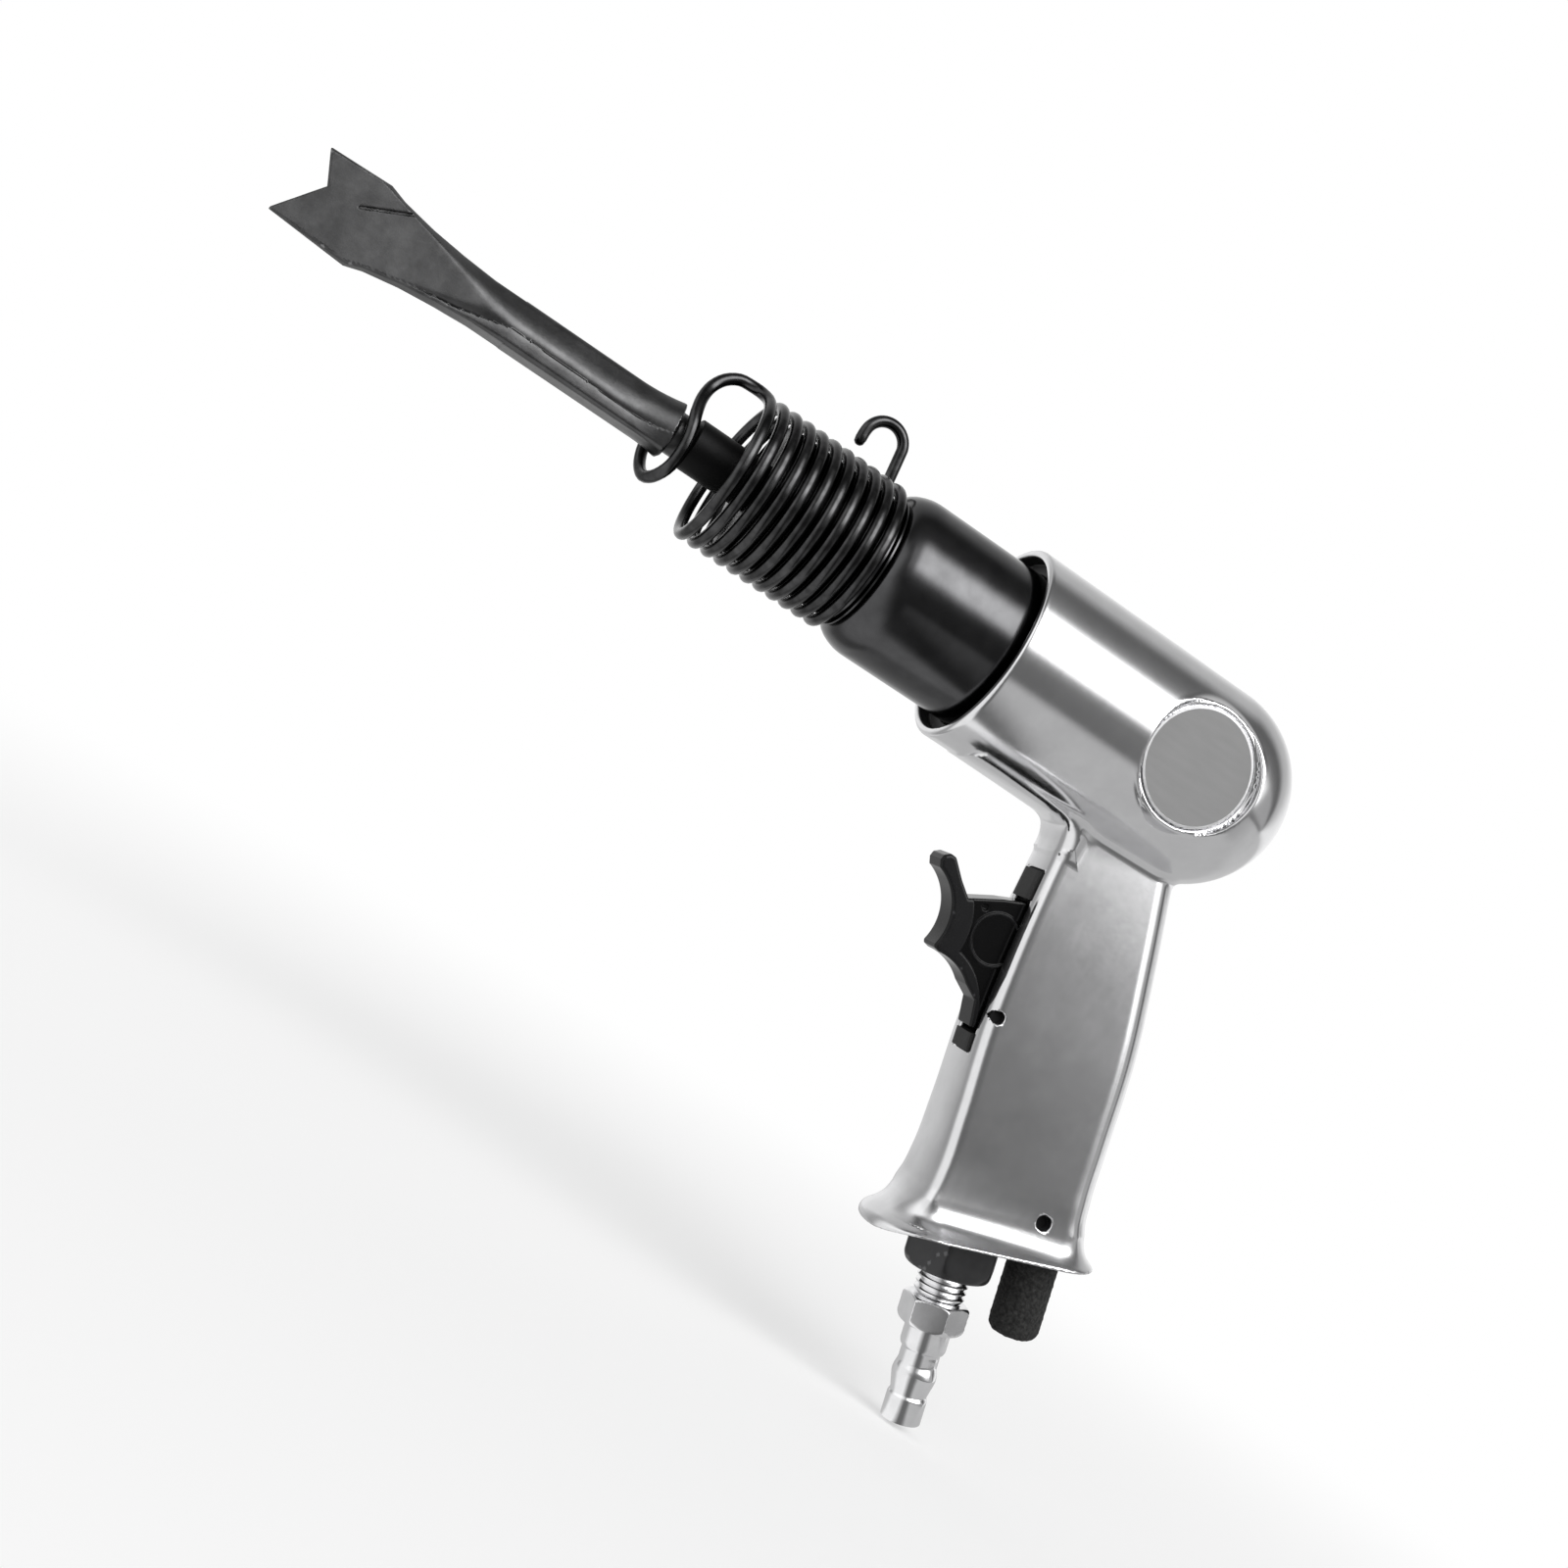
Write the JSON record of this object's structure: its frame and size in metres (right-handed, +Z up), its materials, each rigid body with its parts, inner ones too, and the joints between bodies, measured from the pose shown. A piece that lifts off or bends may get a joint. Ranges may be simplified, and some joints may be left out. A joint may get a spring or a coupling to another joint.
{
  "type": "air_hammer",
  "caption": "Air hammer with a polished pistol grip body, black barrel, coil retainer spring and flat notched chisel, with air plug and muffler",
  "frame": {"origin": "Centre of the pistol grip, on the tool's middle plane", "axes": "+X points back along the barrel's axis, +Y to the tool's far side as seen with the chisel on the left, +Z up at right angles to the barrel's axis"},
  "size_m": [0.2544, 0.045, 0.1794],
  "materials": {
    "cast": "polished casting",
    "black_steel": "gloss",
    "seal": "matte",
    "hard_steel": "ground",
    "spring_black": "oiled black",
    "forged": "dark, with bright edges",
    "trigger_black": "satin",
    "pin_steel": "ground",
    "liner": "matte",
    "brass": "machined",
    "dark_steel": "satin black oxide",
    "chrome": "bright",
    "porous": "rough, porous",
    "plate_grey": "satin",
    "plate_silver": "satin"
  },
  "bodies": {
    "hammer": {"housing": "cast", "barrel": "black_steel", "barrel_seal": "seal", "valve_plate": "hard_steel", "valve_case": "hard_steel", "valve_dowel": "hard_steel", "retainer_spring": "spring_black", "trigger_pin": "pin_steel", "slot_liner": "liner", "throttle_bushing": "brass", "throttle_spring": "hard_steel", "inlet_bushing": "dark_steel", "inlet_seal": "seal", "inlet_screen": "brass", "air_plug": "chrome", "muffler": "porous", "muffler_pin": "pin_steel", "side_disc_near": "plate_grey", "side_disc_far": "plate_grey", "top_plate": "plate_silver"},
    "piston": {"piston": "hard_steel"},
    "valve_disc": {"valve_disc": "hard_steel"},
    "chisel": {"chisel": "forged"},
    "trigger": {"trigger": "trigger_black"},
    "throttle": {"throttle_stem": "hard_steel", "throttle_seal": "seal"}
  },
  "joints": [
    {"name": "piston_slide", "type": "slide", "parent": "hammer", "child": "piston", "axis": [1, 0, 0], "range_m": [-0.0409, 0]},
    {"name": "valve_slide", "type": "slide", "parent": "hammer", "child": "valve_disc", "axis": [1, 0, 0], "range_m": [0, 0.0008]},
    {"name": "chisel_slide", "type": "slide", "parent": "hammer", "child": "chisel", "axis": [1, 0, 0], "range_m": [-0.0008, 0.0003]},
    {"name": "trigger_hinge", "type": "hinge", "parent": "hammer", "child": "trigger", "pos_m": [-0.01689, 0, 0.00142], "axis": [0, 1, 0], "range_deg": [0, 9], "stiffness_Nm_per_rad": 0.5, "springref_deg": -11.46},
    {"name": "throttle_slide", "type": "slide", "parent": "hammer", "child": "throttle", "axis": [0.9681, 0, 0.2504], "range_m": [0, 0.0024], "deforming": ["throttle_spring"]}
  ],
  "couplings": [
    {"joint": "throttle_slide", "follows": "trigger_hinge", "m_per_rad": 0.01472}
  ]
}
